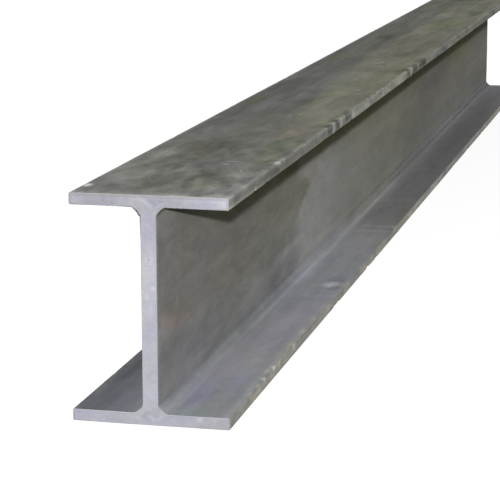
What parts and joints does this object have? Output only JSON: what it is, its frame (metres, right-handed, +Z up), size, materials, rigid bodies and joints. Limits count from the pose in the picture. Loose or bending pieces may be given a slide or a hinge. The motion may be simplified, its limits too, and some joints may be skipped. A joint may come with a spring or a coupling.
{
  "type": "steel i-beam",
  "caption": "Hot-rolled steel I-beam with parallel flanges, a thick web and rounded root fillets, one straight length sawn square at both ends.",
  "frame": {"origin": "centre of the footprint, on the underside of the bottom flange", "axes": "+Y along the beam's length, +X across the flanges, +Z up through the web from the bottom flange to the top flange"},
  "size_m": [0.175, 3, 0.25],
  "materials": {
    "mill_scale_steel": "satin"
  },
  "bodies": {
    "root": {"i_beam": "mill_scale_steel"}
  },
  "joints": []
}
